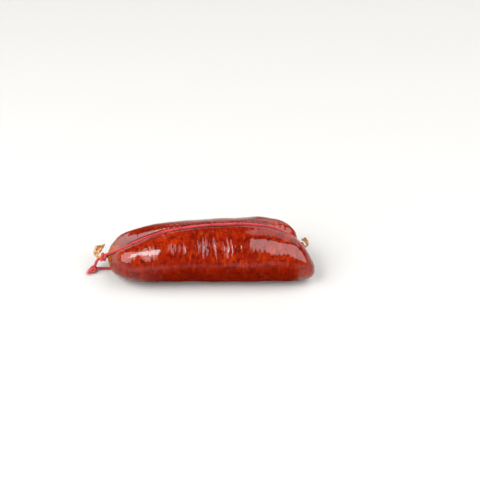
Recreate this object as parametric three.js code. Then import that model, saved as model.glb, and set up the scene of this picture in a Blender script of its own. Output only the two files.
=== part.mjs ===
// A soft spreading sausage in a natural gut casing, tied lengthwise with one red twine.
//
// The sausage lies along X with its larger lobe towards -Y, and settles under its own weight
// on the plane z = 0. The twine runs in the upright plane y = 0: over the top, where it sinks in
// and parts the casing into two lobes, round the tied neck at each end, and back underneath.
// Units are millimetres, +Z is up.
import * as THREE from 'three';

const { lerp, smoothstep, clamp } = THREE.MathUtils;

// ---- Driving dimensions ---------------------------------------------------------------------
const LENGTH = 188;             // the stuffed casing, from where it leaves the left neck
const HALF_HEIGHT = 30.3;       // of the full section, before it settles
const FRONT_REACH = 38.8;       // the larger lobe, from the twine's plane to its side
const BACK_REACH = 27.3;        // the smaller lobe
const SINK = 4.4;               // how far the full section would reach below the plane z = 0
const SETTLE = 0.8;             // how softly the side turns into the flat that it lies on
const GROOVE_DEPTH = 2.8;       // from the full half height down to the groove's floor on top

const NECK_RADIUS = 1.3;        // the casing where it is gathered under a tie
const LEFT_NECK_HEIGHT = 18.5;
const RIGHT_NECK_HEIGHT = 23.5;
const LEFT_NECK_START = 3;      // where the left neck opens into the stuffed part
const LEFT_NECK_RISE = 16;      // the stretch over which the left end lifts to the full height

const END_LEAN = 0.41;          // the right end runs on in front and stops short behind
const END_TILT = 0.26;          // and runs on below

const TWINE = 2.9;              // the twine's diameter
const TIE_TURNS = 1.5;
const TURN_GAP = 0.25;          // between one turn of a tie and the next
const BED = 0.4;                // room between the twine and the casing that it lies in
const GAP = 0.3;                // room between pieces that meet

const TAIL_HALF_WIDTH = 4.7;    // the flattened end of the casing beyond the left tie
const TAIL_HALF_THICKNESS = 0.35;
const KNOT_RADIUS = 3.1;        // the knot where the twine's two ends meet

const SEGMENTS = 44;            // round the casing
const RINGS_PER_STATION = 3;    // along it, between two stations

// ---- Stations along the casing ----------------------------------------------------------------
// Each row is one section: its place along the casing and its girth, as shares of the length
// and of the full section; then where the twine's bed lies on top and underneath, each as a
// place along and a share of the climb from the neck (top) or up to the neck (underneath).
const neckGirth = NECK_RADIUS / HALF_HEIGHT;
const neckAlong = LEFT_NECK_START / LENGTH;
const stations = [
  //  along   girth      top: along, climb   under: along, climb
  [neckAlong, neckGirth, neckAlong, 0, neckAlong, 0],
  [0.022, 0.220, 0.026, 0.025, 0.022, 0],
  [0.036, 0.450, 0.045, 0.075, 0.036, 0],
  [0.062, 0.635, 0.075, 0.150, 0.062, 0],
  [0.100, 0.775, 0.115, 0.275, 0.100, 0],
  [0.160, 0.860, 0.170, 0.450, 0.160, 0],
  [0.240, 0.893, 0.245, 0.650, 0.240, 0],
  [0.340, 0.912, 0.340, 0.835, 0.340, 0],
  [0.480, 0.935, 0.480, 0.960, 0.480, 0],
  [0.640, 0.965, 0.640, 1.000, 0.640, 0],
  [0.760, 0.985, 0.755, 0.970, 0.760, 0],
  [0.860, 0.995, 0.868, 0.830, 0.860, 0],
  [0.920, 0.955, 0.917, 0.685, 0.905, 0.08],
  [0.965, 0.885, 0.949, 0.560, 0.940, 0.22],
  [0.998, 0.730, 0.968, 0.430, 0.963, 0.40],
  [1.015, 0.530, 0.979, 0.325, 0.977, 0.56],
  [1.016, 0.400, 0.987, 0.225, 0.986, 0.70],
  [1.007, 0.280, 0.992, 0.135, 0.992, 0.82],
  [0.999, 0.160, 0.995, 0.055, 0.996, 0.93],
  [0.996, neckGirth, 0.996, 0, 0.996, 1],
];

// Three curves carry the rows' columns, two or so at a time, so that all bend alike between rows.
function columns(first, second) {
  const rows = stations.map((row) => new THREE.Vector3(row[first], row[second], 0));
  return new THREE.CatmullRomCurve3(rows, false, 'catmullrom', 0.5);
}
const profile = columns(0, 1);
const topBed = columns(2, 3);
const underBed = columns(4, 5);

const AXIS_HEIGHT = HALF_HEIGHT - SINK;
const bedTop = AXIS_HEIGHT + HALF_HEIGHT - GROOVE_DEPTH;
const bedUnder = TWINE + BED + 0.15;

// ---- The casing's surface -----------------------------------------------------------------------
// The height of a section's middle: low at the left neck, level along the body, low at the right.
function axisHeight(x) {
  const left = LEFT_NECK_HEIGHT - AXIS_HEIGHT;
  const right = RIGHT_NECK_HEIGHT - AXIS_HEIGHT;
  return AXIS_HEIGHT + left * (1 - smoothstep(x, 0, LEFT_NECK_RISE))
    + right * smoothstep(x, 0.8 * LENGTH, LENGTH);
}

// Flat on z = 0 where the section would sink below it, with a soft turn into the side.
function settle(z) {
  if (z > SETTLE) return z;
  return z < -SETTLE ? 0 : (z + SETTLE) ** 2 / (4 * SETTLE);
}

// One point: t runs from the left neck to the right one, and angle goes round from the top by
// way of the front.
function casingPoint(t, angle) {
  const { x: along, y: girth } = profile.getPoint(t);
  const bed = topBed.getPoint(t);
  const under = underBed.getPoint(t);
  const middle = axisHeight(along * LENGTH);
  const radius = girth * HALF_HEIGHT;
  const up = Math.cos(angle);

  // Narrow sections are round; full ones reach further in front than behind.
  const reach = Math.sin(angle) > 0 ? FRONT_REACH : BACK_REACH;
  const width = girth * lerp(HALF_HEIGHT, reach, smoothstep(girth, 0.15, 0.6));
  let x = along * LENGTH;
  const y = -width * Math.sin(angle);
  let z = middle + radius * up;

  // The top of the section is drawn to the twine's bed, less so the further from the twine.
  const neckTop = (along < 0.5 ? LEFT_NECK_HEIGHT : RIGHT_NECK_HEIGHT) + NECK_RADIUS;
  const depth = Math.max(middle + radius - lerp(neckTop, bedTop, bed.y), 0);
  const spread = Math.min(4.5 + 0.25 * depth, 0.42 * radius);
  const round = 0.65 * TWINE * depth / spread;
  const top = Math.exp((round - Math.hypot(y, round)) / spread) * clamp(6 * up, 0, 1);
  x += top * (bed.x - along) * LENGTH;
  z -= top * depth;

  // Underneath it is lifted clear of the twine.
  const neckBottom = RIGHT_NECK_HEIGHT - NECK_RADIUS;
  const lift = Math.max(lerp(bedUnder, neckBottom, under.y) - (middle - radius), 0);
  const half = 7.0 + 0.8 * Math.max(lift - 6, 0);
  const below = Math.max(1 - (y / half) ** 2, 0) ** 2 * clamp(-6 * up, 0, 1);
  x += below * (under.x - along) * LENGTH;
  z = settle(z + below * lift);

  // The right end leans: further on in front and below, but not where the casing is gathered.
  const lean = smoothstep(x, 0.62 * LENGTH, 0.98 * LENGTH) * smoothstep(girth, 0.05, 0.45);
  x -= lean * (END_LEAN * y + END_TILT * (z - AXIS_HEIGHT));
  return new THREE.Vector3(x, y, z);
}

// ---- Solids from rings ------------------------------------------------------------------------
// A closed solid through rings of equally many points, with a flat fan at each end.
function loft(rings) {
  const count = rings[0].length;
  const positions = rings.flat().flatMap((p) => [p.x, p.y, p.z]);
  const centre = (ring) => ring.reduce((sum, p) => sum.add(p), new THREE.Vector3())
    .divideScalar(count);
  positions.push(...centre(rings[0]).toArray(), ...centre(rings.at(-1)).toArray());
  const index = [];
  const startHub = rings.length * count;
  for (let j = 0; j < count; j++) {
    const k = (j + 1) % count;
    for (let i = 0; i + 1 < rings.length; i++) {
      const a = i * count, b = a + count;
      index.push(a + j, a + k, b + j, b + j, a + k, b + k);
    }
    const last = (rings.length - 1) * count;
    index.push(startHub, k, j, startHub + 1, last + j, last + k);
  }
  const geometry = new THREE.BufferGeometry();
  geometry.setAttribute('position', new THREE.Float32BufferAttribute(positions, 3));
  geometry.setIndex(index);
  geometry.computeVertexNormals();
  return geometry;
}

// Angles round the casing, closer together at the top and underneath, where the twine lies.
const angles = Array.from({ length: SEGMENTS }, (_, j) => {
  const even = (2 * Math.PI * j) / SEGMENTS;
  return even - 0.36 * Math.sin(2 * even);
});

// A ring of the flattened casing beyond a tie: broad in the twine's plane and thin across it.
function tailRing([x, y, z, halfWidth, halfThickness, turn]) {
  const a = THREE.MathUtils.degToRad(turn);
  return angles.map((angle) => new THREE.Vector3(
    x + halfWidth * Math.cos(angle) * Math.sin(a),
    y - halfThickness * Math.sin(angle),
    z + halfWidth * Math.cos(angle) * Math.cos(a),
  ));
}

// ---- Ties -----------------------------------------------------------------------------------------
const wrapRadius = NECK_RADIUS + GAP + TWINE / 2;     // of the twine's middle round a neck
const tieLength = TIE_TURNS * (TWINE + TURN_GAP);
const tieReach = tieLength + TWINE / 2 + GAP;         // from the first turn's middle outwards

const leftTieStart = LEFT_NECK_START - TWINE / 2 - GAP;
const rightNeckStart = stations.at(-1)[0] * LENGTH;
const rightTieStart = rightNeckStart + TWINE / 2 + GAP;

// ---- The stuffed casing with its two gathered ends, one solid --------------------------------------
function stuffedCasing() {
  const rings = [];
  const steps = RINGS_PER_STATION * (stations.length - 1);
  for (let i = 0; i <= steps; i++) {
    rings.push(angles.map((angle) => casingPoint(i / steps, angle)));
  }
  // Beyond each tie the casing flattens and bends up: x, y, z, half width, half thickness, turn.
  const w = TAIL_HALF_WIDTH, h = TAIL_HALF_THICKNESS, n = NECK_RADIUS;
  const leftEnd = leftTieStart - tieReach, zl = LEFT_NECK_HEIGHT;
  const left = [
    [leftEnd + 1.9, 2.1, zl + 12.6, w, h, 84],
    [leftEnd + 1.1, 1.8, zl + 10.2, 0.98 * w, h, 82],
    [leftEnd - 0.3, 1.4, zl + 7.4, 0.86 * w, h, 76],
    [leftEnd - 1.7, 1.0, zl + 4.6, 0.56 * w, 1.3 * h, 84],
    [leftEnd - 2.1, 0.6, zl + 2.2, 1.5 * n, 1.6 * h, 60],
    [leftEnd - 1.4, 0.2, zl + 0.6, 1.15 * n, 0.7 * n, 28],
    [leftEnd, 0, zl, n, n, 0],
  ];
  const rightEnd = rightTieStart + tieReach, zr = RIGHT_NECK_HEIGHT;
  const right = [
    [rightEnd, 0, zr, n, n, 0],
    [rightEnd + 1.0, 0.2, zr + 0.6, 1.15 * n, 0.7 * n, -30],
    [rightEnd + 1.3, 0.6, zr + 2.4, 1.2 * n, 1.6 * h, -76],
    [rightEnd + 0.5, 1.0, zr + 5.0, 0.36 * w, 1.3 * h, -116],
    [rightEnd - 1.0, 1.4, zr + 6.9, 0.44 * w, h, -126],
    [rightEnd - 2.6, 1.8, zr + 8.0, 0.5 * w, h, -128],
  ];
  return loft([...left.map(tailRing), ...rings, ...right.map(tailRing)]);
}

// ---- Twine ------------------------------------------------------------------------------------------
function twineAlong(points, steps) {
  const section = new THREE.Shape(Array.from({ length: 8 }, (_, i) => new THREE.Vector2(
    (TWINE / 2) * Math.cos((Math.PI * i) / 4), (TWINE / 2) * Math.sin((Math.PI * i) / 4))));
  return new THREE.ExtrudeGeometry(section, {
    steps, bevelEnabled: false, extrudePath: new THREE.CatmullRomCurve3(points),
  });
}

// The twine's middle over its bed: the bed's point moved out along the bed's normal.
function overBed(t, angle) {
  const step = 0.004;
  const at = casingPoint(t, angle);
  const ahead = casingPoint(Math.min(t + step, 1), angle);
  const behind = casingPoint(Math.max(t - step, 0), angle);
  const along = ahead.sub(behind).normalize();
  const out = new THREE.Vector3(-along.z, 0, along.x).multiplyScalar(angle === 0 ? 1 : -1);
  return at.addScaledVector(out, TWINE / 2 + BED);
}

// The bed is followed from where the twine is clear of the left tie to where it is clear of
// the right one.
function bedRun(angle, keep, count) {
  const fine = Array.from({ length: 400 }, (_, i) => overBed(i / 399, angle)).filter(keep);
  const run = new THREE.CatmullRomCurve3(fine);
  return run.getSpacedPoints(count);
}
const rightStop = rightTieStart - TWINE / 2 - GAP - 0.3;

function topTwine() {
  const start = leftTieStart + TWINE / 2 + GAP + 0.3;
  return twineAlong(bedRun(0, (p) => p.x > start && p.x < rightStop, 60), 76);
}

// Underneath, the casing holds the twine from the right neck to here, where it comes free.
const FREE_FROM = 25;

function underTwine() {
  const kept = (p) => p.x > FREE_FROM + 2 && p.x < rightStop;
  const points = bedRun(Math.PI, kept, 60);
  return twineAlong([new THREE.Vector3(FREE_FROM + GAP, 0, points[0].z), ...points], 76);
}

// A tie winds outwards along its neck, starting at the top.
function tie(start, direction, height) {
  const count = Math.round(12 * TIE_TURNS);
  const points = Array.from({ length: count + 1 }, (_, i) => {
    const a = (2 * Math.PI * TIE_TURNS * i) / count;
    return new THREE.Vector3(start + direction * (tieLength * i) / count,
      -wrapRadius * Math.sin(a), height + wrapRadius * Math.cos(a));
  });
  return twineAlong(points, 2 * count);
}

// The lower free end: from under the casing, along the surface, to the knot. Heights are over
// the height of twine that lies on the surface.
const LYING = TWINE / 2 + 0.15;
const lowerRoute = [
  [25, 0, 0], [22.5, 0.05, 0], [20, 0.15, 0], [17.5, 0.35, 0], [15, 0.6, 0],
  [12.5, 0.9, 0], [10, 1.2, 0], [7.5, 1.45, 0.05], [5, 1.65, 0.1], [2.5, 1.75, 0.15],
  [0, 1.8, 0.25], [-2.5, 1.75, 0.4], [-5, 1.55, 0.65], [-7, 1.3, 0.95], [-8.9, 1, 1.25],
].map(([x, y, z]) => new THREE.Vector3(x, y, z + LYING));

// The upper one: from the left tie down to the knot.
const knotAt = new THREE.Vector3(-12.4, 0.7, KNOT_RADIUS + 0.1);
function upperEnd() {
  const start = new THREE.Vector3(leftTieStart - tieLength - TWINE - GAP, 0.2,
    LEFT_NECK_HEIGHT - wrapRadius - 0.3);
  const towards = start.clone().sub(knotAt);
  const stop = knotAt.clone().addScaledVector(towards.clone().normalize(), KNOT_RADIUS + GAP);
  const sag = stop.clone().lerp(start, 0.5).add(new THREE.Vector3(-0.3, 0, -0.3));
  return twineAlong([stop, sag, start], 8);
}

// The knot is a lump on the twine, drawn out into the cut ends, which lie on the surface:
// x, y, z, radius.
function endKnot() {
  const r = TWINE / 2;
  const stretch = [
    [3.2, 0.3, -0.3, r], [2.3, 0.2, -0.1, 0.75 * KNOT_RADIUS], [0.8, 0, 0, 0.97 * KNOT_RADIUS],
    [-0.8, -0.7, 0, 0.97 * KNOT_RADIUS], [-1.9, -2.2, -0.6, 0.72 * KNOT_RADIUS],
    [-2.5, -3.6, -1.4, r], [-3.3, -5.2, -1.8, 0.9 * r], [-4.2, -6.8, -2, 0.8 * r],
    [-4.7, -7.8, -2.1, 0.5 * r],
  ];
  const middles = stretch.map(([x, y, z, radius]) => {
    const middle = new THREE.Vector3(x, y, z).add(knotAt);
    middle.z = Math.max(middle.z, radius + 0.04);
    return middle;
  });
  const path = new THREE.CatmullRomCurve3(middles);
  const frames = path.computeFrenetFrames(stretch.length - 1, false);
  const rings = stretch.map(([, , , radius], i) => {
    const middle = middles[i];
    return Array.from({ length: 10 }, (_, j) => {
      const a = (2 * Math.PI * j) / 10;
      return middle.clone().addScaledVector(frames.normals[i], radius * Math.cos(a))
        .addScaledVector(frames.binormals[i], radius * Math.sin(a));
    });
  });
  return loft(rings);
}

// ---- The object -----------------------------------------------------------------------------------
const gut = new THREE.MeshStandardMaterial({ color: 0x8f2c12, roughness: 0.25, metalness: 0 });
const twine = new THREE.MeshStandardMaterial({ color: 0xc4424a, roughness: 0.8, metalness: 0 });

const group = new THREE.Group();
function add(name, geometry, material) {
  const mesh = new THREE.Mesh(geometry, material);
  mesh.name = name;
  group.add(mesh);
}

add('stuffed_casing', stuffedCasing(), gut);
add('left_neck_tie', tie(leftTieStart, -1, LEFT_NECK_HEIGHT), twine);
add('right_neck_tie', tie(rightTieStart, 1, RIGHT_NECK_HEIGHT), twine);
add('top_twine', topTwine(), twine);
add('under_twine', underTwine(), twine);

// The origin is under the middle of everything but the free ends.
const box = new THREE.Box3().setFromObject(group);
group.position.set(-(box.min.x + box.max.x) / 2, -(box.min.y + box.max.y) / 2, 0);

add('lower_free_end', twineAlong(lowerRoute, 16), twine);
add('upper_free_end', upperEnd(), twine);
add('end_knot', endKnot(), twine);

export default group;
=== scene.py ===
# %% [markdown]
# # A soft cured sausage, tied lengthwise with red twine
#
# The sausage is a length of natural gut, filled with a soft red paste and tied off at both ends.
# One twine holds it: it runs along the top, where it sinks in and parts the gut into two lobes,
# winds round each gathered neck, comes back underneath and ends in a knot in front of the left
# neck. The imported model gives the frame, and every piece below lies where its CAD solid lies.
# All shapes are worked out in millimetres, as numpy arrays, and become metres when a mesh is made.

import bpy
import numpy as np
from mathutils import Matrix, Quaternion, Vector


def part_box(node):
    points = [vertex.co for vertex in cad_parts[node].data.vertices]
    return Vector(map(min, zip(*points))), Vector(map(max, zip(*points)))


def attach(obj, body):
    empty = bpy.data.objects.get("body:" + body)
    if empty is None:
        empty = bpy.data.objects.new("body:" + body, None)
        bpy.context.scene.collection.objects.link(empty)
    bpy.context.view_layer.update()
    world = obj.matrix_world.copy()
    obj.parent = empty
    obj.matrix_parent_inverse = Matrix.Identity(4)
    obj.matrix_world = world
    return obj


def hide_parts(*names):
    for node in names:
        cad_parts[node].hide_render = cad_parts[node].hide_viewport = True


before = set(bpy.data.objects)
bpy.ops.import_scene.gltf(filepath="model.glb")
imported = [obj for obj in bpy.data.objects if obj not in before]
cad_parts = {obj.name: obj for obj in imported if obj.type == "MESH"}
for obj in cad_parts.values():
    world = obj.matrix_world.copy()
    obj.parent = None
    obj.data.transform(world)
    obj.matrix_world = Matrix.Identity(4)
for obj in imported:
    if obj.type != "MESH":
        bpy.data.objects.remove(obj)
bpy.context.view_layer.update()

print("nodes:", sorted(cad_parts))

# %% [markdown]
# ## The camera
#
# A long lens from far off keeps the two ends of the sausage the same size. The camera stands in
# front, a little to the left, and looks down at 42 degrees. The lens is shifted instead of
# turned, so that the sausage sits left of the middle and nothing leans. Shifts are shares of the
# picture's width.

# %% Camera
LOOK_AT = Vector((-0.00135, 0.0056, 0.028))
elevation, azimuth, distance = np.radians(42), np.radians(-2.9), 1.4
back = Vector((np.sin(azimuth) * np.cos(elevation),
               -np.cos(azimuth) * np.cos(elevation), np.sin(elevation)))

lens = bpy.data.cameras.new("long_lens")
lens.sensor_width, lens.lens = 36, 108.6975
lens.shift_x, lens.shift_y = 0.0791667, 0.0133333
camera = bpy.data.objects.new("camera", lens)
camera.location = LOOK_AT + distance * back
camera.rotation_mode = "QUATERNION"
camera.rotation_quaternion = back.to_track_quat("Z", "Y")
bpy.context.scene.collection.objects.link(camera)
bpy.context.scene.camera = camera
print("lens, mm:", round(lens.lens, 1), "distance, m:", distance)

# %% [markdown]
# ## A few helpers
#
# A curve through given points is used everywhere: for the sausage's outline, for the twine's
# route, for the ends of the gut. Noise that is smooth and the same at each run is a sum of waves
# with seeded directions, which needs no texture and closes round the sausage by itself, because
# it is a function of the point in space.


# %% Curves, steps and noise
def smoothstep(x, low, high):
    """0 below low and 1 above high; between them three times the share squared less twice
    its cube."""
    share = np.clip((x - low) / (high - low), 0, 1)
    return share * share * (3 - 2 * share)


def mix(a, b, share):
    """a, and the share of the way from a to b added to it."""
    return a + (b - a) * share


def spline(points, t):
    """The curve through the points, all of t from 0 to 1. Between two points it is the cubic
    whose slope at each is half the step from the point before it to the point after it."""
    p = np.asarray(points, float)
    p = np.vstack([2 * p[0] - p[1], p, 2 * p[-1] - p[-2]])
    place = np.clip(t, 0, 1) * (len(p) - 3)
    i = np.minimum(place.astype(int), len(p) - 4)
    w = (place - i)[..., None]
    slope0, slope1 = (p[i + 2] - p[i]) / 2, (p[i + 3] - p[i + 1]) / 2
    return ((2 * w ** 3 - 3 * w ** 2 + 1) * p[i + 1] + (w ** 3 - 2 * w ** 2 + w) * slope0
            + (3 * w ** 2 - 2 * w ** 3) * p[i + 2] + (w ** 3 - w ** 2) * slope1)


def lengths(points):
    """The distance run from the first point to each one, along straight steps."""
    steps = np.linalg.norm(np.diff(points, axis=0), axis=1)
    return np.concatenate([[0], np.cumsum(steps)])


def even(points, spacing):
    """The same line with points an even distance apart, about spacing millimetres."""
    run = lengths(points)
    at = np.linspace(0, run[-1], max(int(round(run[-1] / spacing)), 2) + 1)
    return np.stack([np.interp(at, run, column) for column in points.T], axis=1)


def waves(points, size, seed, count=36):
    """Smooth noise from about -1 to 1: the mean of many cosine waves, each with its own
    direction and start, whose lengths lie round size (a number, or one per axis), in mm."""
    pick = np.random.default_rng(seed)
    way = pick.normal(size=(count, 3))
    way /= np.linalg.norm(way, axis=1, keepdims=True)
    way *= 2 * np.pi * pick.uniform(0.6, 1.5, (count, 1)) / np.asarray(size, float)
    start = pick.uniform(0, 2 * np.pi, count)
    return np.cos(points @ way.T + start).sum(axis=-1) / np.sqrt(count)


# %% [markdown]
# Every shape here is a tube: rings of points, closed round, one ring after the other. One
# function turns such a grid into a mesh, closes both ends with a fan, and gives it a UV map with
# the distance along it and the share of the way round, for patterns that follow the tube.


# %% From rings to a mesh
def tube_mesh(name, rings, along=None):
    """rings is rings x points x 3 in mm. Each four neighbours make a face that looks outwards
    when the points go round clockwise, seen along the tube. Each end closes on its mean."""
    count, around = rings.shape[:2]
    points = np.concatenate([rings.reshape(-1, 3), rings[0].mean(0)[None],
                             rings[-1].mean(0)[None]]) / 1000
    i, j = np.meshgrid(np.arange(count - 1), np.arange(around), indexing="ij")
    k = (j + 1) % around
    quads = np.stack([i * around + j, i * around + k, (i + 1) * around + k,
                      (i + 1) * around + j], axis=-1).reshape(-1, 4)
    one, next_one = np.arange(around), (np.arange(around) + 1) % around
    hub, last = count * around, (count - 1) * around
    start = np.stack([np.full(around, hub), next_one, one], axis=1)
    end = np.stack([np.full(around, hub + 1), last + one, last + next_one], axis=1)
    mesh = bpy.data.meshes.new(name)
    mesh.from_pydata(points, [], quads.tolist() + start.tolist() + end.tolist())

    run = lengths(rings.mean(1)) if along is None else along
    u = np.stack([run[i], run[i], run[i + 1], run[i + 1]], axis=-1).reshape(-1) / 1000
    v = np.stack([j, j + 1, j + 1, j], axis=-1).reshape(-1) / around
    ends = np.repeat([[run[0] / 1000, 0.5], [run[-1] / 1000, 0.5]], 3 * around, axis=0)
    uv = np.concatenate([np.stack([u, v], axis=1), ends])
    mesh.uv_layers.new(name="along_and_round").data.foreach_set("uv", uv.ravel())
    mesh.shade_smooth()
    mesh.validate()
    piece = bpy.data.objects.new(name, mesh)
    bpy.context.scene.collection.objects.link(piece)
    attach(piece, "root")
    print(f"{name}: {len(points)} points, about {2 * len(quads)} triangles")
    return piece


def give(piece, name, values):
    """One number per point, for a material to read. The two hubs get their ring's mean."""
    hubs = [values[0].mean(), values[-1].mean()]
    kept = piece.data.attributes.new(name, "FLOAT", "POINT")
    kept.data.foreach_set("value", np.concatenate([values.ravel(), hubs]).astype(np.float32))


# %% [markdown]
# ## The stuffed casing
#
# Filled gut is round where it is free, flat where it lies, and drawn in where the twine holds it.
# It could be a sculpted ball or a cloth simulation, but the CAD solid already says where each
# section is, so the skin uses the same rule with the same numbers, worked out far more finely.
# That keeps the twine in its bed. The folds come after, as small moves along the surface's
# normal.

# %% Sizes of the casing, in mm
LENGTH, HALF_HEIGHT = 188, 30.3
FRONT_REACH, BACK_REACH = 38.8, 27.3
SINK, SETTLE, GROOVE_DEPTH = 4.4, 0.8, 2.8
NECK_RADIUS, LEFT_NECK, RIGHT_NECK = 1.3, 18.5, 23.5
TWINE, BED, GAP = 2.9, 0.4, 0.3
AXIS = HALF_HEIGHT - SINK
BED_TOP = AXIS + HALF_HEIGHT - GROOVE_DEPTH
BED_UNDER = TWINE + BED + 0.15

NECK_GIRTH = NECK_RADIUS / HALF_HEIGHT
# each row: along, girth; the twine's bed on top: along, climb; and underneath: along, climb
stations = np.array([
    [3 / LENGTH, NECK_GIRTH, 3 / LENGTH, 0, 3 / LENGTH, 0],
    [0.022, 0.220, 0.026, 0.025, 0.022, 0], [0.036, 0.450, 0.045, 0.075, 0.036, 0],
    [0.062, 0.635, 0.075, 0.150, 0.062, 0], [0.100, 0.775, 0.115, 0.275, 0.100, 0],
    [0.160, 0.860, 0.170, 0.450, 0.160, 0], [0.240, 0.893, 0.245, 0.650, 0.240, 0],
    [0.340, 0.912, 0.340, 0.835, 0.340, 0], [0.480, 0.935, 0.480, 0.960, 0.480, 0],
    [0.640, 0.965, 0.640, 1.000, 0.640, 0], [0.760, 0.985, 0.755, 0.970, 0.760, 0],
    [0.860, 0.995, 0.868, 0.830, 0.860, 0], [0.920, 0.955, 0.917, 0.685, 0.905, 0.08],
    [0.965, 0.885, 0.949, 0.560, 0.940, 0.22], [0.998, 0.730, 0.968, 0.430, 0.963, 0.40],
    [1.015, 0.530, 0.979, 0.325, 0.977, 0.56], [1.016, 0.400, 0.987, 0.225, 0.986, 0.70],
    [1.007, 0.280, 0.992, 0.135, 0.992, 0.82], [0.999, 0.160, 0.995, 0.055, 0.996, 0.93],
    [0.996, NECK_GIRTH, 0.996, 0, 0.996, 1],
])


# %% The casing's rule
def casing(t, angle):
    """Points of the casing; t runs from the left neck to the right one, and the angle goes
    round from the top by way of the front. Each section is round, wider in front than behind;
    its top is drawn to the twine's bed by an exponential of the distance from the twine, its
    underside is lifted clear of the twine, and what would sink below the table is flat on it."""
    row = spline(stations, t)
    along, girth, top_along, top_climb, under_along, under_climb = np.moveaxis(row, -1, 0)
    x = along * LENGTH
    middle = (AXIS + (LEFT_NECK - AXIS) * (1 - smoothstep(x, 0, 16))
              + (RIGHT_NECK - AXIS) * smoothstep(x, 0.8 * LENGTH, LENGTH))
    radius, up = girth * HALF_HEIGHT, np.cos(angle)
    reach = np.where(np.sin(angle) > 0, FRONT_REACH, BACK_REACH)
    width = girth * mix(HALF_HEIGHT, reach, smoothstep(girth, 0.15, 0.6))
    y, z = -width * np.sin(angle), middle + radius * up

    neck_top = np.where(along < 0.5, LEFT_NECK, RIGHT_NECK) + NECK_RADIUS
    depth = np.maximum(middle + radius - mix(neck_top, BED_TOP, top_climb), 0)
    spread = np.minimum(4.5 + 0.25 * depth, 0.42 * radius)
    blunt = 0.65 * TWINE * depth / spread
    top = np.exp((blunt - np.hypot(y, blunt)) / spread) * np.clip(6 * up, 0, 1)
    x = x + top * (top_along - along) * LENGTH
    z = z - top * depth

    neck_bottom = RIGHT_NECK - NECK_RADIUS
    lift = np.maximum(mix(BED_UNDER, neck_bottom, under_climb) - (middle - radius), 0)
    half = 7.0 + 0.8 * np.maximum(lift - 6, 0)
    below = np.maximum(1 - (y / half) ** 2, 0) ** 2 * np.clip(-6 * up, 0, 1)
    x = x + below * (under_along - along) * LENGTH
    z = z + below * lift
    z = np.where(z > SETTLE, z, np.where(z < -SETTLE, 0, (z + SETTLE) ** 2 / (4 * SETTLE)))

    lean = smoothstep(x, 0.62 * LENGTH, 0.98 * LENGTH) * smoothstep(girth, 0.05, 0.45)
    return np.stack([x - lean * (0.41 * y + 0.26 * (z - AXIS)), y, z], axis=-1)


# %% The grid: even steps along the skin, and closer together near the twine
RINGS, AROUND = 484, 200
fine = np.linspace(0, 1, 4001)
sides = casing(fine[:, None], np.radians([0, 60, 120, 180, 240, 300])[None, :])
steps = np.linalg.norm(np.diff(sides, axis=0), axis=2).mean(1)
at_creases = np.exp(-((sides[1:, 0, 0] - 100) / 32) ** 4)
walked = np.concatenate([[0], np.cumsum(steps * (1 + 0.9 * at_creases))])
t_rings = np.interp(np.linspace(0, walked[-1], RINGS), walked, fine)
turn = 2 * np.pi * np.arange(AROUND) / AROUND
angles = turn - 0.36 * np.sin(2 * turn)
smooth_skin = casing(t_rings[:, None], angles[None, :])

# the twine underneath starts 25.3 mm from the left neck, and both runs lie in the plane y = 0
low, high = (np.array(c) * 1000 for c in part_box("under_twine"))
shift = np.array([low[0] - 25.3, (low[1] + high[1]) / 2, 0])
print("from the sausage's own frame to the row's, mm:", np.round(shift, 2).tolist())


# %% [markdown]
# The folds. Gut has no stretch left once it is filled, so where the sausage bends or is drawn
# in, it folds: pleats run out from each neck like the pleats of a drawn purse, short puckers
# cross the twine's bed, and a few sharp creases go round the front of the belly. A crease is a
# narrow furrow with a low lip on each side. Broad lumps under the skin make the gloss break up.


# %% Normals and folds
def normals(grid):
    """The cross product of the step round and the step along, made one long."""
    along = np.gradient(grid, axis=0)
    around = np.roll(grid, -1, axis=1) - np.roll(grid, 1, axis=1)
    cross = np.cross(around, along)
    return cross / np.maximum(np.linalg.norm(cross, axis=2, keepdims=True), 1e-9)


def furrow(distance, width):
    """A furrow one deep with low lips: minus a bell curve, plus a third of a wider one."""
    return -np.exp(-(distance / width) ** 2) + 0.35 * np.exp(-(distance / (2.4 * width)) ** 2)


def creases(grid, angle, seed):
    """Creases round the belly, in mm. Each has its own place, slant, wobble, width, depth and
    stretch of the way round, and fades at both ends."""
    pick = np.random.default_rng(seed)
    x = grid[..., 0] + 0.9 * waves(grid, 16, seed + 1) + 0.35 * waves(grid, 5, seed + 2)
    total = np.zeros(x.shape)
    # place, middle and half length of the stretch in degrees from the top, depth, width
    chosen = [(76, 50, 24, 0.28, 0.7), (79.5, 62, 18, 0.18, 0.6), (90, 40, 18, 0.18, 0.6),
              (94.5, 42, 30, 0.46, 0.5), (97.6, 38, 24, 0.34, 0.4), (105.4, 40, 30, 0.44, 0.5),
              (108.2, 70, 26, 0.20, 0.6), (118, 58, 48, 0.55, 0.5), (121.5, 38, 26, 0.32, 0.4),
              (131, 38, 16, 0.15, 0.7), (66, 56, 16, 0.14, 0.7), (57, 48, 14, 0.12, 0.7)]
    chosen += [(pick.uniform(40, 165), pick.uniform(20, 110), pick.uniform(10, 26),
                pick.uniform(0.05, 0.13), pick.uniform(0.7, 1.2)) for _ in range(16)]
    chosen += [(pick.uniform(40, 150), pick.uniform(-110, -25), pick.uniform(14, 40),
                pick.uniform(0.15, 0.5), pick.uniform(0.8, 1.3)) for _ in range(14)]
    degrees = np.degrees(np.where(angle > np.pi, angle - 2 * np.pi, angle))
    for place, middle, half, depth, width in chosen:
        slant = pick.uniform(-0.06, 0.06)
        fade = np.clip(1 - ((degrees - middle) / half) ** 2, 0, 1) ** 0.8
        total += depth * fade * furrow(x - place - slant * (degrees - middle), width)
    return total


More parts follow.
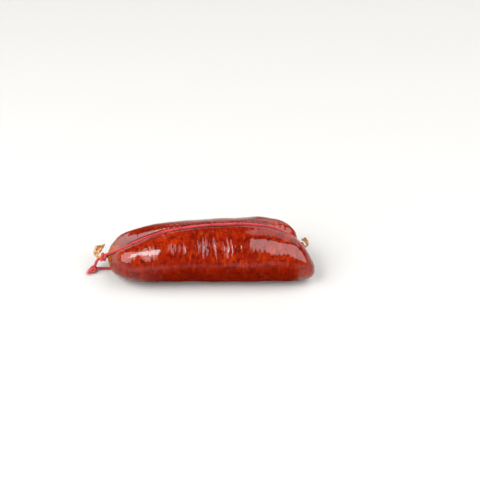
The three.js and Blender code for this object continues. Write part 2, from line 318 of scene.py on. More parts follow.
def pleats(grid, angle, from_neck, count, reach, depth, seed):
    """Pleats that run out from a neck: a cosine of count waves round, bent by noise, as deep as
    a share of the distance from the neck and gone at its reach. Sharp below and round above."""
    bend = 0.9 * waves(grid, 26, seed) + 0.4 * waves(grid, 11, seed + 1)
    wave = np.cos(count * angle + bend)
    height = depth * smoothstep(from_neck, 0, 0.25 * reach) * (
        1 - smoothstep(from_neck, 0.35 * reach, reach))
    fold = np.abs(np.sin(np.arccos(np.clip(wave, -1, 1)) / 2 + 0.4)) ** 0.7
    return height * (0.55 - fold) * 1.6


# %% The skin with its folds
grid, angle = smooth_skin, np.broadcast_to(angles[None, :], smooth_skin.shape[:2])
normal = normals(grid)
from_left = np.linalg.norm(grid - [3, 0, LEFT_NECK], axis=2)
from_right = np.linalg.norm(grid - [0.996 * LENGTH, 0, RIGHT_NECK], axis=2)
beside = np.abs(grid[..., 1])
on_top = smoothstep(np.cos(angle), 0, 0.3)

# the fine lumps are weaker round the middle, where the creases take up the slack
bell = lambda middle, width: np.exp(-((grid[..., 0] - middle) / width) ** 2)
fine = 0.09 * waves(grid, (13, 24, 24), 2) + 0.05 * waves(grid, (4.5, 14, 14), 3)
lumps = 0.36 * waves(grid, 36, 1) + fine * (1 - 0.7 * bell(90, 36))
# two shoulders on the larger lobe: it climbs on to the right of one and falls off past the other
on_front = smoothstep(np.sin(angle), 0.15, 0.5) * smoothstep(np.cos(angle), -0.35, 0.2)
lumps += on_front * (1.0 * bell(58, 13) - 0.8 * bell(34, 10) + 1.3 * bell(138, 14)
                     - 1.2 * bell(168, 12))
# the smaller lobe is flatter at the left end and fuller at the right one
on_back = smoothstep(-np.sin(angle), 0.1, 0.5) * smoothstep(np.cos(angle), -0.3, 0.3)
lumps += on_back * (2.4 * bell(176, 15) - 1.6 * bell(34, 15))
# the gut swells up again close beside the twine and nearly closes over it
swell = 1.5 * smoothstep(beside, 1.3, 3.6) * np.exp(-((beside - 3.6).clip(0) / 4.5) ** 2) * on_top
swell = swell * smoothstep(np.minimum(from_left, from_right), 12, 40)
belly = creases(grid, angle, 11)
left_pleats = pleats(grid, angle, from_left, 11, 46, 0.9, 21)
right_pleats = pleats(grid, angle, from_right, 12, 34, 0.8, 31)
pucker = (waves(grid, (6.5, 60, 60), 41) + 0.5 * waves(grid, (3.2, 40, 40), 42))
puckers = 0.13 * pucker * np.exp(-((beside - 4.0) / 3.5) ** 2) * on_top
clear_of_ends = smoothstep(np.minimum(from_left, from_right), 2, 14)
clear_of_twine = smoothstep(beside, 1.2, 5)
clear_of_table = smoothstep(grid[..., 2], 0.4, 7)
folds = (lumps * clear_of_ends * clear_of_twine + belly * clear_of_twine * clear_of_ends
         + (left_pleats + right_pleats) * smoothstep(beside, 0.6, 3) + puckers * clear_of_ends
         + swell)
skin = grid + normal * (folds * clear_of_table)[..., None]
skin[..., 2] = np.maximum(skin[..., 2], 0)

neck = np.stack([np.full(AROUND, -1.6), -NECK_RADIUS * np.sin(angles),
                 LEFT_NECK + NECK_RADIUS * np.cos(angles)], axis=-1)
right_neck = neck + [0.996 * LENGTH + 4.6 + 1.6, 0, RIGHT_NECK - LEFT_NECK]
skin = np.concatenate([neck[None], skin, right_neck[None]])
casing_skin = tube_mesh("stuffed_casing_skin", skin + shift)
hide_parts("stuffed_casing")
print("deepest fold and highest lump, mm:", folds.min().round(2), folds.max().round(2))

# %% What the material needs to know about each point
pad = lambda values: np.concatenate([values[:1], values, values[-1:]])
near_end = np.maximum(1 - from_left / 46, 0.8 * (1 - from_right / 28)).clip(0, 1)
give(casing_skin, "near_end", pad(near_end))
# painted shadow of the twine: strongest right beside it, on top
give(casing_skin, "groove", pad(np.exp(-(beside / 3.2) ** 2) * on_top))
# the lower half has lost its grease to the table, less so towards both ends; the same share
# paints shade on it, darkening its colour
wiped_and_painted_shade = mix(0.35, 1, smoothstep(grid[..., 0], 25, 80)) * mix(
    1, 0.25, smoothstep(grid[..., 0], 174, 190))
give(casing_skin, "low", pad(wiped_and_painted_shade * (1 - smoothstep(grid[..., 2], 26, 40))))

# %% [markdown]
# ## The twine
#
# Butcher's twine is three plies twisted round each other. A smooth tube would look like wire, so
# the section has three round lobes and turns as it goes along. The one twine is worked out as
# one route, from the knot up to the left neck, over the top, round the right neck, back
# underneath and out to the knot again, and only then cut into pieces: what is bound to the
# sausage, and the two free ends. So the plies run on across each cut.


# %% The twine's route, in mm
def over_bed(t, angle):
    """The twine's middle over its bed, and the direction away from the bed: the bed's point
    moved out by half the twine and the room between, along the bed's normal."""
    step = 0.004
    run = casing(np.minimum(t + step, 1), angle) - casing(np.maximum(t - step, 0), angle)
    run /= np.linalg.norm(run, axis=1, keepdims=True)
    out = np.stack([-run[:, 2], 0 * run[:, 0], run[:, 0]], axis=1) * (1 if angle == 0 else -1)
    return casing(t, angle) + out * (TWINE / 2 + BED), out


TURNS, PITCH = 1.5, TWINE + 0.25
WRAP = NECK_RADIUS + GAP + TWINE / 2
LEFT_TIE = 3 - TWINE / 2 - GAP
RIGHT_TIE = 0.996 * LENGTH + TWINE / 2 + GAP
TIE_REACH = TURNS * PITCH + TWINE / 2 + GAP


def tie(start, direction, height):
    """A helix round a neck, starting on top and winding outwards, and the way out from it."""
    turn = np.linspace(0, 2 * np.pi * TURNS, 90)
    out = np.stack([0 * turn, -np.sin(turn), np.cos(turn)], axis=1)
    middle = np.stack([start + direction * PITCH * turn / (2 * np.pi), 0 * turn,
                       np.full(90, height)], axis=1)
    return middle + WRAP * out, out


t_bed = np.linspace(0, 1, 900)
top_run, top_out = over_bed(t_bed, 0.0)
kept = (top_run[:, 0] > LEFT_TIE + 2.2) & (top_run[:, 0] < RIGHT_TIE - 2.2)
top_run, top_out = top_run[kept], top_out[kept]
under_run, under_out = over_bed(t_bed, np.pi)
kept = (under_run[:, 0] > 27) & (under_run[:, 2] < 13)
under_run, under_out = under_run[kept][::-1], under_out[kept][::-1]
left_tie, left_out = tie(LEFT_TIE, -1, LEFT_NECK)
right_tie, right_out = tie(RIGHT_TIE, 1, RIGHT_NECK)

LYING = TWINE / 2 + 0.15
lower_free = np.array([
    [25, 0, 0], [22.5, 0.05, 0], [20, 0.15, 0], [17.5, 0.35, 0], [15, 0.6, 0], [12.5, 0.9, 0],
    [10, 1.2, 0], [7.5, 1.45, 0.05], [5, 1.65, 0.1], [2.5, 1.75, 0.15], [0, 1.8, 0.25],
    [-2.5, 1.75, 0.4], [-5, 1.55, 0.65], [-7, 1.3, 0.95], [-8.9, 1, 1.25]]) + [0, 0, LYING]
upper_free = np.array([[-10.2, 0.6, 5.9], [-9.1, 0.4, 9.2], [-7.9, 0.3, 12.4],
                       [-6.8, 0.4, 14.6]])
over_neck = np.array([[-5.9, 0.9, 15.1], [-4.8, 0.9, 15.4]])
back_loop = np.array([[194.2, 1.6, 20.0], [193.3, 2.4, 18.6], [191.0, 1.8, 17.4],
                      [188.8, 0.8, 16.2]])


def facing(points, way):
    """The same direction away at each of these points."""
    return np.broadcast_to(np.array(way, float), points.shape)


parts = [(upper_free, facing(upper_free, (0.6, 0, -1))),
         (over_neck, facing(over_neck, (0.3, 0, -1))),
         (left_tie[::-1], left_out[::-1]), (top_run, top_out), (right_tie, right_out),
         (back_loop, facing(back_loop, (0.2, 0.2, -1))), (under_run, under_out),
         (lower_free, facing(lower_free, (0, 0, -1)))]
line = np.concatenate([p for p, _ in parts])
away = np.concatenate([a for _, a in parts])


def eased(values, reach):
    """A running mean over 2 reach + 1 points, with the ends kept."""
    padded = np.concatenate([np.repeat(values[:1], reach, 0), values,
                             np.repeat(values[-1:], reach, 0)])
    total = np.cumsum(np.concatenate([0 * padded[:1], padded]), axis=0)
    return (total[2 * reach + 1:] - total[:-2 * reach - 1]) / (2 * reach + 1)


SPACING = 0.3
run = lengths(line)
at = np.arange(0, run[-1], SPACING)
route = np.stack([np.interp(at, run, c) for c in line.T], axis=1)
outwards = np.stack([np.interp(at, run, c) for c in away.T], axis=1)
ends = route[0].copy(), route[-1].copy()
route, outwards = eased(eased(route, 2), 2), eased(outwards, 4)
route[0], route[-1] = ends
print("whole twine, mm:", round(lengths(route)[-1], 1))


# %% [markdown]
# The section of three touching plies: how far the outside of a round ply reaches in a direction
# that is some angle off the ply's own. The lobes turn by one lay, here about three diameters,
# which is what a loosely laid kitchen twine has.


# %% A twisted twine
LAY = 9.0


def twisted(line, away, start=0.0, thickness=TWINE / 2, sides=30, plies=3):
    """Rings round the line. In each ring the radius at an angle is that of the nearest ply's
    circle, whose middle lies 0.34 of the twine's radius out and whose own radius is 0.66 of
    it. The plies turn once round in every lay. thickness may be one number per point."""
    tangent = np.gradient(line, axis=0)
    tangent /= np.linalg.norm(tangent, axis=1, keepdims=True)
    out = away - (away * tangent).sum(1, keepdims=True) * tangent
    out /= np.linalg.norm(out, axis=1, keepdims=True)
    side = np.cross(tangent, out)
    distance = start + lengths(line)
    round_angle = 2 * np.pi * np.arange(sides) / sides
    lobe = plies * (round_angle[None, :] - 2 * np.pi * distance[:, None] / LAY)
    off = np.abs((lobe + np.pi) % (2 * np.pi) - np.pi) / plies
    reach = 0.34 * np.cos(off) + np.sqrt(0.66 ** 2 - (0.34 * np.sin(off)) ** 2)
    reach = reach * np.broadcast_to(thickness, len(line))[:, None]
    return (line[:, None] + reach[..., None] * (np.cos(round_angle)[None, :, None] * out[:, None]
            + np.sin(round_angle)[None, :, None] * side[:, None])), distance


# %% Cut the route into the bound twine and its two free ends
i_up = int(np.argmin(np.linalg.norm(route - [-6.8, 0.4, 14.6], axis=1)))
from_exit = np.linalg.norm(route - lower_free[0], axis=1)
i_low = int(np.argmin(from_exit))
pieces = {}
for name, first, last in (("upper_free_twine", 0, i_up), ("tied_twine", i_up, i_low),
                          ("lower_free_twine", i_low, len(route) - 1)):
    part = route[first:last + 1]
    rings, distance = twisted(part, outwards[first:last + 1], first * SPACING)
    piece = tube_mesh(name, rings + shift, distance)
    pieces[name] = piece, part
    print(name, "length, mm:", round(lengths(part)[-1], 1))
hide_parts("upper_free_end")
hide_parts("lower_free_end")
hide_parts("left_neck_tie", "right_neck_tie", "top_twine", "under_twine")

# %% [markdown]
# ## The knot
#
# The two ends are tied together in one pulled-tight overhand knot, and the cut ends stick out.
# A knot is a line that goes twice round a small ring while it goes three times through it. The
# line is opened at one place, and the two ends are led out there. Pulled tight, the twine is
# squeezed to about two thirds of its thickness.

# %% The knot's line
KNOT = np.array([-12.4, 0.0, 3.9])
SQUEEZED = 1.08


def knot_line(squeeze):
    """Twice round and three times through: the ring's radius is 2.2 and the winding's 1.1 times
    the squeezed twine's radius."""
    turn = np.linspace(0.36, 2 * np.pi - 0.36, 70)
    ring = squeeze * (2.2 + 1.1 * np.cos(3 * turn))
    return np.stack([ring * np.cos(2 * turn), ring * np.sin(2 * turn),
                     1.1 * squeeze * np.sin(3 * turn)], axis=1)


way_out = np.array([-4.5, -7.6, -1.6]) / np.linalg.norm([4.5, 7.6, 1.6])
across = np.cross(way_out, [0.25, 0, 1.0])
across /= np.linalg.norm(across)
upright = np.cross(across, way_out)
core = KNOT + knot_line(SQUEEZED) @ np.stack([across, way_out, upright])
core -= across * 0.9
lead_in = np.array([[-8.9, 1.0, 2.85], [-9.6, 1.0, 3.1], [-10.3, 1.3, 3.5]])
lead_out = core[-1] + np.outer([1.0, 2.2, 3.6, 4.8], way_out)
strand = eased(even(spline(np.concatenate([lead_in, core[::3], lead_out]),
                           np.linspace(0, 1, 600)), 0.25), 2)
second = np.array([[-10.2, 0.6, 5.9], [-10.7, 0.5, 5.0], KNOT, KNOT + 2.8 * way_out,
                   KNOT + 4.4 * way_out - [0.5, 0, 0], KNOT + 6.0 * way_out - [1.1, 0, 0.3]])
second = eased(even(spline(second, np.linspace(0, 1, 400)), 0.25), 2)
for thread in (strand, second):
    thread[:, 2] = np.maximum(thread[:, 2], 1.35)


def knotted(name, thread, tight_from, tight_to):
    """A twisted strand, thinner by the squeeze between two shares of its length. Its rings are
    turned by the direction away from a point well below the knot, which it never runs along."""
    share = lengths(thread) / lengths(thread)[-1]
    tight = smoothstep(share, tight_from - 0.06, tight_from) * (
        1 - smoothstep(share, tight_to, tight_to + 0.08))
    thickness = mix(0.97 * TWINE / 2, SQUEEZED, tight) * mix(1, 0.8, smoothstep(share, 0.985, 1))
    rings, run = twisted(thread, thread - (KNOT - 3 * upright), 0, thickness)
    rings[..., 2] = np.maximum(rings[..., 2], 0.02)
    piece = tube_mesh(name, rings + shift, run)
    return piece


knot = knotted("end_knot_twine", strand, 0.06, 0.80)
second_end = knotted("second_cut_end_twine", second, 0.1, 0.5)
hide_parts("end_knot")

# %% [markdown]
# Twine is spun from short fibres, so fine hairs stand off it everywhere, and a cut end frays
# into a small brush. Each hair is a bent tube with three sides; all hairs are worked out as one
# array.


# %% Hairs
def hairs(name, roots, ways, length, seed, radius=0.06):
    """Bent tapering tubes: the middle line is the root, plus the way times the distance, plus a
    random sideways bend times the distance squared; the radius falls off towards the tip."""
    pick = np.random.default_rng(seed)
    count, rings, sides = len(roots), 5, 3
    s = np.linspace(0, 1, rings)[None, :, None]
    reach = length * pick.uniform(0.5, 1.3, (count, 1, 1))
    ways = ways / np.linalg.norm(ways, axis=1, keepdims=True)
    bend = pick.normal(0, 0.45, (count, 1, 3))
    line = roots[:, None] + reach * (ways[:, None] * s + bend * s ** 2)
    one = np.cross(ways, pick.normal(size=(count, 3)))
    one /= np.linalg.norm(one, axis=1, keepdims=True)
    two = np.cross(ways, one)
    a = 2 * np.pi * np.arange(sides) / sides
    ring = (np.cos(a)[None, None, :, None] * one[:, None, None]
            + np.sin(a)[None, None, :, None] * two[:, None, None])
    points = line[:, :, None] + radius * (1 - 0.6 * s[..., None]) * ring
    points[..., 2] = np.maximum(points[..., 2], 0.02)
    base = (np.arange(count) * rings * sides)[:, None, None]
    i, j = np.meshgrid(np.arange(rings - 1), np.arange(sides), indexing="ij")
    k = (j + 1) % sides
    quads = base[..., None] + np.stack([i * sides + j, i * sides + k, (i + 1) * sides + k,
                                        (i + 1) * sides + j], axis=-1)[None]
    caps = base[:, 0] + np.array([[2, 1, 0]])
    tips = base[:, 0] + (rings - 1) * sides + np.array([[0, 1, 2]])
    mesh = bpy.data.meshes.new(name)
    mesh.from_pydata((points.reshape(-1, 3) + shift) / 1000, [],
                     quads.reshape(-1, 4).tolist() + caps.tolist() + tips.tolist())
    mesh.shade_smooth()
    piece = bpy.data.objects.new(name, mesh)
    bpy.context.scene.collection.objects.link(piece)
    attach(piece, "root")
    print(name, "hairs:", count, "triangles:", 2 * quads.size // 4 + 2 * count)
    return piece


def brush(line, count, seed):
    """Roots and ways of the hairs at a cut end: spread over the end, fanned out round it."""
    pick = np.random.default_rng(seed)
    way = line[-1] - line[-6]
    way /= np.linalg.norm(way)
    spread = pick.normal(0, 0.5, (count, 3))
    spread -= (spread @ way)[:, None] * way
    return line[-1] - 0.5 * way + 1.1 * spread, way + 0.9 * spread


roots, ways = map(np.concatenate, zip(brush(strand, 60, 51), brush(second, 60, 52)))
frayed = hairs("frayed_ends", roots, ways, 2.0, 53, 0.1)
pick = np.random.default_rng(54)
at = pick.integers(3, len(route) - 3, 620)
run_way = route[at + 2] - route[at - 2]
run_way /= np.linalg.norm(run_way, axis=1, keepdims=True)
stand = pick.normal(size=(len(at), 3)) + 0.8 * outwards[at]
stand -= (stand * run_way).sum(1, keepdims=True) * run_way
stand /= np.linalg.norm(stand, axis=1, keepdims=True)
roots = route[at] + 0.8 * TWINE / 2 * stand
fuzz = hairs("twine_fuzz", roots, stand + 1.2 * run_way, 0.9, 55, 0.04)

# %% [markdown]
# The free end underneath is taken from the pieces, for its material below.

low_piece, low_line = pieces["lower_free_twine"]

# %% [markdown]
# ## The ends of the gut
#
# Past each tie the gut is empty: two thin walls stuck together, dried stiff, with pleats from
# the gathering and a ragged cut rim. A flattened tube shows both walls and their folded edges,
# which a single sheet would not.

# %% Rows of the tails: x, y, z, half width, half thickness, turn in degrees
left_end, right_end = LEFT_TIE - TIE_REACH, RIGHT_TIE + TIE_REACH
left_rows = [
    [left_end + 1.9, 2.1, LEFT_NECK + 12.6, 4.7, 0.22, 84],
    [left_end + 1.1, 1.8, LEFT_NECK + 10.2, 4.6, 0.22, 82],
    [left_end - 0.3, 1.4, LEFT_NECK + 7.4, 4.5, 0.24, 78],
    [left_end - 1.7, 1.0, LEFT_NECK + 4.6, 3.7, 0.35, 84],
    [left_end - 2.1, 0.6, LEFT_NECK + 2.2, 2.3, 0.56, 60],
    [left_end - 1.4, 0.2, LEFT_NECK + 0.6, 1.5, 0.9, 28],
    [left_end, 0, LEFT_NECK, 1.3, 1.3, 0], [left_end + 3, 0, LEFT_NECK, 1.22, 1.22, 0]]
right_rows = [
    [right_end - 3, 0, RIGHT_NECK, 1.22, 1.22, 0], [right_end, 0, RIGHT_NECK, 1.3, 1.3, 0],
    [right_end + 1.0, 0.2, RIGHT_NECK + 0.6, 1.5, 0.9, -30],
    [right_end + 1.3, 0.6, RIGHT_NECK + 2.4, 1.6, 0.56, -76],
    [right_end + 0.5, 1.0, RIGHT_NECK + 5.0, 1.7, 0.35, -116],
    [right_end - 1.0, 1.4, RIGHT_NECK + 6.9, 2.05, 0.24, -126],
    [right_end - 2.6, 1.8, RIGHT_NECK + 8.0, 2.35, 0.22, -128]]


def tail(name, rows, tip_first, seed):
    """A flattened tube through the rows. Both walls share the same pleats: sines of the place
    across, which grow towards the tip. The rim is cut ragged by a noise along the tube."""
    t = np.linspace(0, 1, 70)
    x, y, z, wide, thick, turned = spline(rows, t).T[..., None]
    free = smoothstep((1 - t if tip_first else t)[:, None], 0.25, 1.0)
    around = 2 * np.pi * np.arange(120)[None, :] / 120
    across, turned = np.cos(around), np.radians(turned)
    pick = np.random.default_rng(seed)
    a, b, c = pick.uniform(0, 6.3, 3)
    pleat = 0.55 * np.sin(7 * across + a) + 0.35 * np.sin(12 * across + b + 2 * free)
    rim = smoothstep(free, 0.75, 1) * (0.7 * np.sin(5 * across + c) + 0.5 * np.sin(13 * across + a))
    rings = np.stack([x + wide * across * np.sin(turned) + 0 * around,
                      y - thick * np.sin(around) + free * (pleat + 1.1 * across ** 2),
                      z + wide * across * np.cos(turned) + rim], axis=-1)
    piece = tube_mesh(name, rings + shift)
    return piece


left_tail = tail("left_gut_tail", left_rows, True, 61)
right_tail = tail("right_gut_tail", right_rows, False, 62)

# %% [markdown]
# ## Materials
#
# Colours are given as sRGB hex values, as a paint chart would, and one function turns them to
# linear light. One more function adds a node: it sets what it is told and links what it is
# given, so that each material below reads as a list of its layers.


# %% Colour and node helpers
def colour(hex_value):
    """sRGB to linear: each channel over 12.92 near black, and otherwise a power of 2.4."""
    c = np.array([int(hex_value[i:i + 2], 16) for i in (1, 3, 5)]) / 255
    return (*np.where(c <= 0.04045, c / 12.92, ((c + 0.055) / 1.055) ** 2.4).tolist(), 1.0)


def add(tree, kind, inputs=(), stops=None, **settings):
    """A node of this kind: settings are its own, inputs are values or other nodes' sockets."""
    made = tree.nodes.new(kind)
    for key, value in settings.items():
        setattr(made, key, value)
    if stops:
        ramp = made.color_ramp
        while len(ramp.elements) < len(stops):
            ramp.elements.new(0.5)
        for element, (place, value) in zip(ramp.elements, stops):
            element.position, element.color = place, value
    for key, value in dict(inputs).items():
        if isinstance(value, bpy.types.NodeSocket):
            tree.links.new(value, made.inputs[key])
        else:
            made.inputs[key].default_value = value
    return made


def material(name):
    """An empty material with its output node."""
    made = bpy.data.materials.new(name)
    made.use_nodes = True
    made.node_tree.nodes.clear()
    return made, made.node_tree, made.node_tree.nodes.new("ShaderNodeOutputMaterial")


def grey(value):
    return (value, value, value, 1)


# %% [markdown]
# The filled gut. Natural casing is a clear, damp, slightly greasy film over paprika paste: the
# colour comes from below, mottled with fat and darker lean, and the gloss comes from the film.
# So the colour and a dull roughness go on the base, and the film is the coat, which fades out on
# the lower half, where the colour is also darkened as painted shade. Near the necks there is less
# paste behind the gut, and it turns brown.

# %% Filled natural gut
MM = 1 / 1000
gut, tree, output = material("natural_gut_over_paprika_paste")
place = add(tree, "ShaderNodeTexCoord").outputs["Object"]
broad = add(tree, "ShaderNodeTexNoise", {"Vector": place, "Scale": 1 / (38 * MM), "Detail": 2})
lean = add(tree, "ShaderNodeTexNoise", {"Vector": place, "Scale": 1 / (5 * MM), "Detail": 5,
                                        "Roughness": 0.62})
stretched = add(tree, "ShaderNodeMapping", {"Vector": place, "Scale": (3.2, 1, 1)})
streak = add(tree, "ShaderNodeTexNoise", {"Vector": stretched.outputs[0], "Scale": 1 / (9 * MM),
                                          "Detail": 4})
fat = add(tree, "ShaderNodeTexVoronoi", {"Vector": place, "Scale": 1 / (4.2 * MM)})
fat_near = add(tree, "ShaderNodeTexNoise", {"Vector": place, "Scale": 1 / (14 * MM), "Detail": 1})

paste = add(tree, "ShaderNodeValToRGB", {0: broad.outputs["Fac"]},
            stops=[(0.30, colour("#680E03")), (0.50, colour("#7D1703")), (0.70, colour("#902204"))])
lean_share = add(tree, "ShaderNodeValToRGB", {0: lean.outputs["Fac"]},
                 stops=[(0.36, grey(0.9)), (0.54, grey(0)), (1.0, grey(0))])
with_lean = add(tree, "ShaderNodeMix", {0: lean_share.outputs[0], 6: paste.outputs[0],
                                        7: colour("#500702")}, data_type="RGBA")
streak_share = add(tree, "ShaderNodeValToRGB", {0: streak.outputs["Fac"]},
                   stops=[(0.52, grey(0)), (0.72, grey(0.5))])
with_streaks = add(tree, "ShaderNodeMix", {0: streak_share.outputs[0], 6: with_lean.outputs[2],
                                           7: colour("#A6380A")}, data_type="RGBA")
fat_spot = add(tree, "ShaderNodeMath", {0: fat.outputs["Distance"], 1: 0.26},
               operation="LESS_THAN")
fat_here = add(tree, "ShaderNodeMath", {0: fat_near.outputs["Fac"], 1: 0.55},
               operation="GREATER_THAN")
fat_share = add(tree, "ShaderNodeMath", {0: fat_spot.outputs[0], 1: fat_here.outputs[0]},
                operation="MULTIPLY")
fat_soft = add(tree, "ShaderNodeMath", {0: fat_share.outputs[0], 1: 0.12}, operation="MULTIPLY")
with_fat = add(tree, "ShaderNodeMix", {0: fat_soft.outputs[0], 6: with_streaks.outputs[2],
                                       7: colour("#B85218")}, data_type="RGBA")
low_wiped_and_painted_shade = add(tree, "ShaderNodeAttribute", attribute_name="low")
# painted shade: the lower half's colour is mixed towards a dark red
painted_low_shade_share = add(tree, "ShaderNodeMath", {0: low_wiped_and_painted_shade.outputs["Fac"], 1: 0.55}, operation="MULTIPLY")
film = add(tree, "ShaderNodeValToRGB", {0: low_wiped_and_painted_shade.outputs["Fac"]},
           stops=[(0.10, grey(1)), (0.28, grey(0.85)), (0.50, grey(0.20)), (0.80, grey(0.02))])
with_painted_low_shade = add(tree, "ShaderNodeMix", {0: painted_low_shade_share.outputs[0], 6: with_fat.outputs[2],
                                       7: colour("#5C0801")}, data_type="RGBA")
# painted shadow of the twine: the colour goes nearly black in its bed
groove = add(tree, "ShaderNodeAttribute", attribute_name="groove")
painted_twine_shadow_share = add(tree, "ShaderNodeMath", {0: groove.outputs["Fac"], 1: 0.9}, operation="MULTIPLY")
with_painted_twine_shadow = add(tree, "ShaderNodeMix", {0: painted_twine_shadow_share.outputs[0], 6: with_painted_low_shade.outputs[2],
                                          7: colour("#2C0402")}, data_type="RGBA")
end = add(tree, "ShaderNodeAttribute", attribute_name="near_end")
end_noise = add(tree, "ShaderNodeMath", {0: lean.outputs["Fac"], 1: 0.5, 2: end.outputs["Fac"]},
                operation="MULTIPLY_ADD")
end_share = add(tree, "ShaderNodeValToRGB", {0: end_noise.outputs[0]},
                stops=[(0.62, grey(0)), (1.0, grey(0.8))])
with_end = add(tree, "ShaderNodeMix", {0: end_share.outputs[0], 6: with_painted_twine_shadow.outputs[2],
                                       7: colour("#742E0C")}, data_type="RGBA")
neck_share = add(tree, "ShaderNodeValToRGB", {0: end_noise.outputs[0]},
                 stops=[(0.93, grey(0)), (1.0, grey(0.7))])
with_neck = add(tree, "ShaderNodeMix", {0: neck_share.outputs[0], 6: with_end.outputs[2],
                                        7: colour("#92501F")}, data_type="RGBA")

grain = add(tree, "ShaderNodeTexNoise", {"Vector": stretched.outputs[0], "Scale": 1 / (2.0 * MM),
                                         "Detail": 2})
pits = add(tree, "ShaderNodeBump", {"Height": grain.outputs["Fac"], "Strength": 0.25,
                                    "Distance": 0.15 * MM})
rough = add(tree, "ShaderNodeMapRange", {0: lean.outputs["Fac"], 1: 0.3, 2: 0.7, 3: 0.34, 4: 0.5})
skin_shader = add(tree, "ShaderNodeBsdfPrincipled", {
    "Base Color": with_neck.outputs[2], "Roughness": rough.outputs[0], "IOR": 1.45,
    "Specular IOR Level": 0.0, "Normal": pits.outputs[0],
    "Coat Weight": film.outputs[0], "Coat Roughness": 0.05, "Coat IOR": 1.48,
    "Coat Normal": pits.outputs[0]})
tree.links.new(skin_shader.outputs[0], output.inputs["Surface"])
casing_skin.data.materials.append(gut)
print("gut nodes:", len(tree.nodes))

# %% [markdown]
# The dry ends of the gut are thin and let light through, yellow and horny, with darker edges.

# %% Dry gut
dry, tree, output = material("dry_natural_gut")
place = add(tree, "ShaderNodeTexCoord").outputs["Object"]
patch = add(tree, "ShaderNodeTexNoise", {"Vector": place, "Scale": 1 / (3 * MM), "Detail": 4})
tint = add(tree, "ShaderNodeValToRGB", {0: patch.outputs["Fac"]},
           stops=[(0.32, colour("#7E4314")), (0.5, colour("#B8803A")), (0.68, colour("#D6AE6C"))])
thin = add(tree, "ShaderNodeMapRange", {0: patch.outputs["Fac"], 1: 0.3, 2: 0.7, 3: 0.92, 4: 0.6})
crinkle = add(tree, "ShaderNodeBump", {"Height": patch.outputs["Fac"], "Strength": 0.5,
                                     "Distance": 0.3 * MM})
dry_shader = add(tree, "ShaderNodeBsdfPrincipled", {
    "Base Color": tint.outputs[0], "Roughness": 0.38, "IOR": 1.5, "Alpha": thin.outputs[0],
    "Normal": crinkle.outputs[0], "Coat Weight": 0.5, "Coat Roughness": 0.15})
tree.links.new(dry_shader.outputs[0], output.inputs["Surface"])
for piece in (left_tail, right_tail):
    piece.data.materials.append(dry)

# %% [markdown]
# The twine is dyed cotton or viscose: matt, and a little pink where fibres catch the light. Its
# colour is darkened between the plies as painted shade. Yarn lines run along each ply, so the fine
# pattern reads the tube's own UV map, slanted by the lay.

# %% Red kitchen twine
yarn, tree, output = material("red_cotton_twine")
uv = add(tree, "ShaderNodeUVMap", uv_map="along_and_round").outputs[0]
place = add(tree, "ShaderNodeTexCoord").outputs["Object"]
split = add(tree, "ShaderNodeSeparateXYZ", {0: uv})
lay_turn = add(tree, "ShaderNodeMath", {0: split.outputs[0], 1: -1000 / LAY, 2: split.outputs[1]},
               operation="MULTIPLY_ADD")
plies = add(tree, "ShaderNodeMath", {0: lay_turn.outputs[0], 1: 2 * np.pi * 3},
            operation="MULTIPLY")
ply_wave = add(tree, "ShaderNodeMath", {0: plies.outputs[0]}, operation="COSINE")
yarns = add(tree, "ShaderNodeMath", {0: lay_turn.outputs[0], 1: 2 * np.pi * 24},
            operation="MULTIPLY")
yarn_wave = add(tree, "ShaderNodeMath", {0: yarns.outputs[0]}, operation="SINE")
soil = add(tree, "ShaderNodeTexNoise", {"Vector": place, "Scale": 1 / (12 * MM), "Detail": 4})
dye = add(tree, "ShaderNodeValToRGB", {0: soil.outputs["Fac"]},
          stops=[(0.35, colour("#A8181E")), (0.55, colour("#C02E34")), (0.75, colour("#D04A48"))])
# painted shade: the colour darkens in the valleys between the plies
painted_ply_shade = add(tree, "ShaderNodeMapRange", {0: ply_wave.outputs[0], 1: -1, 2: 0.3, 3: 0.7, 4: 0})
with_painted_ply_shade = add(tree, "ShaderNodeMix", {0: painted_ply_shade.outputs[0], 6: dye.outputs[0],
                                          7: colour("#6C0A0E")}, data_type="RGBA")
line_bump = add(tree, "ShaderNodeBump", {"Height": yarn_wave.outputs[0], "Strength": 0.5,
                                         "Distance": 0.12 * MM})
yarn_shader = add(tree, "ShaderNodeBsdfPrincipled", {
    "Base Color": with_painted_ply_shade.outputs[2], "Roughness": 0.72, "Normal": line_bump.outputs[0],
    "Sheen Weight": 0.4, "Sheen Roughness": 0.4, "Sheen Tint": colour("#FFC8C0")})
tree.links.new(yarn_shader.outputs[0], output.inputs["Surface"])
for piece in (pieces["tied_twine"][0], pieces["upper_free_twine"][0], low_piece, knot, second_end):
    piece.data.materials.append(yarn)

# %% [markdown]
# A single fibre is too thin for plies, so the hairs take the same dye alone, a little paler,
# because light comes through them.

# %% Red cotton fibre
fibre, tree, output = material("red_cotton_fibre")
fibre_shader = add(tree, "ShaderNodeBsdfPrincipled", {
    "Base Color": colour("#CC3A3E"), "Roughness": 0.6, "Sheen Weight": 0.3})
tree.links.new(fibre_shader.outputs[0], output.inputs["Surface"])
for piece in (frayed, fuzz):
    piece.data.materials.append(fibre)

# %% [markdown]
# ## Floor and light
#
# A plain pale floor and soft lamps. Gloss shows what is round the sausage, so the lamps are large
# soft boxes. The left and right ones each lay one broad highlight on the larger lobe, and the
# creases between the two catch a thin line of each. A small bright lamp inside the left box makes
# those lines sparkle, and the back box pales the smaller lobe. Lower walls are brighter than the
# upper ones, as in a room with white tables and a dark ceiling.

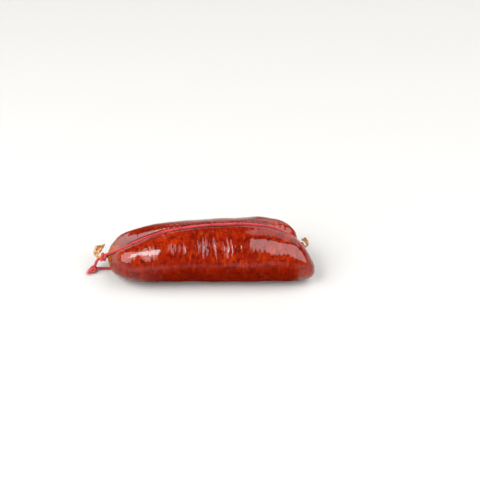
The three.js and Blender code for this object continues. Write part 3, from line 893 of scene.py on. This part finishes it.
# %% Floor
floor_mesh = bpy.data.meshes.new("floor")
floor_mesh.from_pydata([(-6, -6, 0), (6, -6, 0), (6, 6, 0), (-6, 6, 0)], [], [(0, 1, 2, 3)])
floor = bpy.data.objects.new("floor", floor_mesh)
bpy.context.scene.collection.objects.link(floor)
paper, tree, output = material("white_paper")
paper_shader = add(tree, "ShaderNodeBsdfPrincipled", {"Base Color": colour("#BDBCBA"),
                                                     "Roughness": 0.9})
tree.links.new(paper_shader.outputs[0], output.inputs["Surface"])
floor_mesh.materials.append(paper)

# %% Lamps
def soft_box(name, azimuth, elevation, distance, size, radiance, turn=0):
    """An oval lamp that looks at the sausage from this azimuth (0 is the front, 90 the
    right) and elevation, in degrees, and from this distance in metres, turned on its own axis.
    Its power in watts is pi times the radiance times the oval's area."""
    a, e = np.radians(azimuth), np.radians(elevation)
    way = Vector((np.sin(a) * np.cos(e), -np.cos(a) * np.cos(e), np.sin(e)))
    lamp = bpy.data.lights.new(name, "AREA")
    lamp.shape, (lamp.size, lamp.size_y) = "ELLIPSE", size
    lamp.energy = np.pi * radiance * np.pi / 4 * size[0] * size[1]
    made = bpy.data.objects.new(name, lamp)
    made.location = Vector((0, 0, 0.03)) + distance * way
    made.rotation_mode = "QUATERNION"
    made.rotation_quaternion = way.to_track_quat("Z", "Y") @ Quaternion((0, 0, 1), np.radians(turn))
    bpy.context.scene.collection.objects.link(made)


soft_box("left_soft_box", -67, 41, 1.6, (2.2, 1.5), 4.8, -28)
soft_box("small_left_lamp", -47, 56, 1.5, (0.45, 0.7), 11)
soft_box("right_soft_box", 65, 47, 1.6, (1.8, 2.4), 3.9)
soft_box("back_right_soft_box", 155, 32, 2.0, (2.6, 1.7), 1.4)

world = bpy.data.worlds.new("studio")
world.use_nodes = True
tree = world.node_tree
tree.nodes.clear()
way = add(tree, "ShaderNodeSeparateXYZ", {0: add(tree, "ShaderNodeTexCoord").outputs["Generated"]})
height = add(tree, "ShaderNodeMapRange", {0: way.outputs[2], 1: -1, 2: 1})
walls = add(tree, "ShaderNodeValToRGB", {0: height.outputs[0]},
            stops=[(0.50, grey(0.7)), (0.54, grey(0.5)), (0.60, grey(0.12)), (0.75, grey(0.05)),
                   (1.0, grey(0.05))])
sky = add(tree, "ShaderNodeBackground", {0: walls.outputs[0], 1: 1.0})
add(tree, "ShaderNodeOutputWorld", {0: sky.outputs[0]})
bpy.context.scene.world = world
bpy.context.scene.view_settings.view_transform = "Standard"

# %% Finish
bpy.context.view_layer.update()
